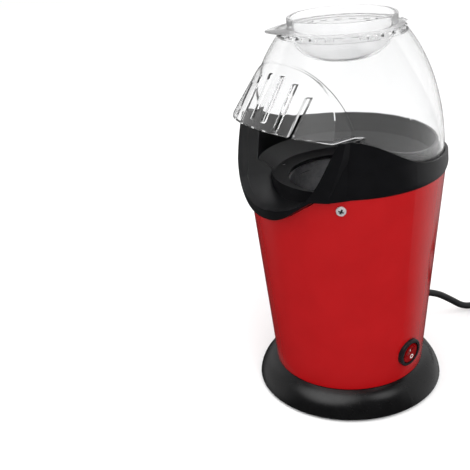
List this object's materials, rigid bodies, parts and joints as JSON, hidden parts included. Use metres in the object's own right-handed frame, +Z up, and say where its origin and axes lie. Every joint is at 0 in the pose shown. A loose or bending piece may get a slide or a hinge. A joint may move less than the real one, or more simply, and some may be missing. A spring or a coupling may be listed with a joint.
{
  "type": "popcorn maker",
  "caption": "Tabletop hot-air popcorn maker: tapered red body, black base and chute collar, clear lift-off dome with steam-slotted hood and measuring cup.",
  "frame": {"origin": "centre of the rubber ring the machine stands on, at the level of the table", "axes": "+Z up along the body's axis; -Y out of the chute; seen from the front, +X is on the right, where the switch is"},
  "size_m": [0.1518, 0.3919, 0.295],
  "materials": {
    "red_shell": "glossy red",
    "black_housing": "satin black",
    "black_base": "satin black",
    "soft_rubber": "matte",
    "cord_jacket": "satin",
    "screw_steel": "polished zinc",
    "plated_steel": "zinc plated",
    "chamber_aluminium": "spun",
    "mica": "pressed mica, satin",
    "heater_wire": "oxidised",
    "white_plastic": "satin",
    "magnet": "matte",
    "brass": "satin",
    "copper": "enamelled",
    "core_steel": "laminated",
    "circuit_board": "satin",
    "switch_black": "satin black",
    "switch_red": "glossy translucent red",
    "clear_cover": "clear polycarbonate",
    "clear_cup": "clear polycarbonate"
  },
  "bodies": {
    "housing": {"foot_ring": "soft_rubber", "base_ring": "black_base", "bottom_plate": "black_base", "base_screws": "screw_steel", "bracket_posts": "white_plastic", "post_screws": "screw_steel", "body_shell": "red_shell", "upper_collar": "black_housing", "popcorn_chute": "black_housing", "collar_screws": "screw_steel", "popping_chamber": "chamber_aluminium", "chamber_gasket": "soft_rubber", "chamber_screws": "screw_steel", "heat_duct": "plated_steel", "mica_cross": "mica", "heater_coil": "heater_wire", "mica_floor": "mica", "thermostat": "plated_steel", "thermal_fuse": "mica", "motor_bracket": "plated_steel", "motor_can": "plated_steel", "motor_magnets": "magnet", "motor_end_cap": "white_plastic", "motor_bushes": "brass", "motor_brushes": "brass", "motor_screws": "screw_steel", "rectifier_board": "circuit_board", "board_posts": "white_plastic", "switch_housing": "switch_black", "switch_terminals": "brass", "strain_relief": "soft_rubber", "cord_tube": "cord_jacket", "cord_coil": "cord_jacket", "cord_tail": "cord_jacket", "plug_body": "cord_jacket", "plug_pins": "brass", "inner_wires": "cord_jacket"},
    "cover": {"dome_cover": "clear_cover"},
    "cup": {"measuring_cup": "clear_cup"},
    "rocker": {"rocker_button": "switch_red"},
    "fan": {"fan_impeller": "white_plastic", "motor_shaft": "plated_steel", "armature": "core_steel", "windings": "copper", "commutator": "brass"}
  },
  "joints": [
    {"name": "cover_lift", "type": "slide", "parent": "housing", "child": "cover", "axis": [0, 0, 1], "range_m": [0, 0.12]},
    {"name": "cup_lift", "type": "slide", "parent": "cover", "child": "cup", "axis": [0, 0, 1], "range_m": [0, 0.06]},
    {"name": "switch_rock", "type": "hinge", "parent": "housing", "child": "rocker", "pos_m": [0.05875, 0.00826, 0.04273], "axis": [-0.0824, 0.88, 0.4677], "range_deg": [-14, 0]},
    {"name": "fan_spin", "type": "hinge", "parent": "housing", "child": "fan", "pos_m": [0, 0, 0.062], "axis": [0, 0, 1], "continuous": true}
  ]
}
